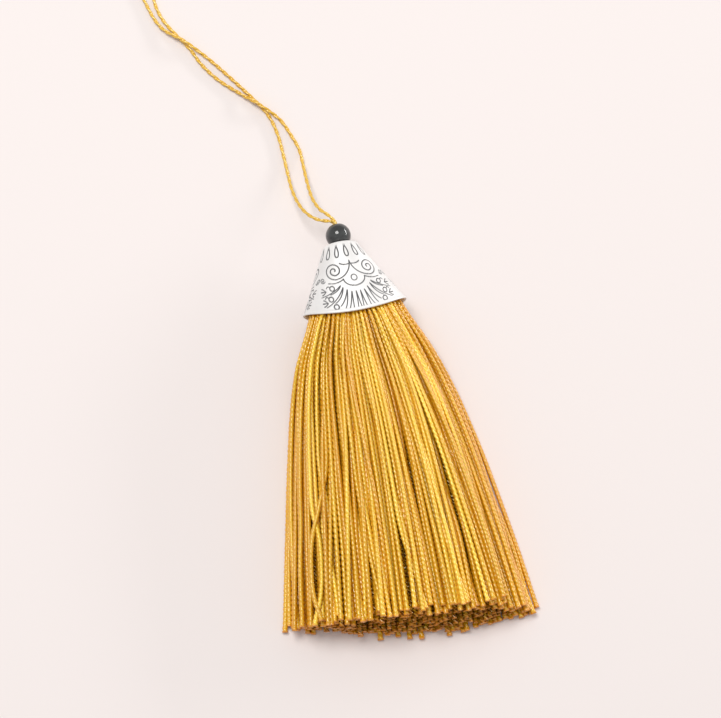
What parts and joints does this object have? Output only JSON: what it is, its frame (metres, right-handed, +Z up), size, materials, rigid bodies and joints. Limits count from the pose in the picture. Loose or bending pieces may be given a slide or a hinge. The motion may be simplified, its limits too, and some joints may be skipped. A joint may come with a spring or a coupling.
{
  "type": "silk tassel",
  "caption": "Ornamental tassel with a fanned skirt of twisted silk thread, an engraved metal cone cap, a round bead and a thin cord hanging loop, lying flat.",
  "frame": {"origin": "middle of the bead, cap and skirt together, on the surface that the tassel lies on", "axes": "+Z up from the surface, +Y along the tassel from the cut ends to the bead, +X across it to the right seen from above with the bead at the top"},
  "size_m": [0.0736, 0.1999, 0.0149],
  "materials": {
    "silk_gold": "mustard gold two-ply silk thread, silky sheen",
    "cap_silver": "pale antique silver plate with dark engraved lines",
    "bead_black": "polished black",
    "cord_gold": "mustard gold two-ply twisted silk cord"
  },
  "bodies": {
    "root": {"skirt": "silk_gold", "cap": "cap_silver", "bead": "bead_black", "cord_loop": "cord_gold"}
  },
  "joints": []
}
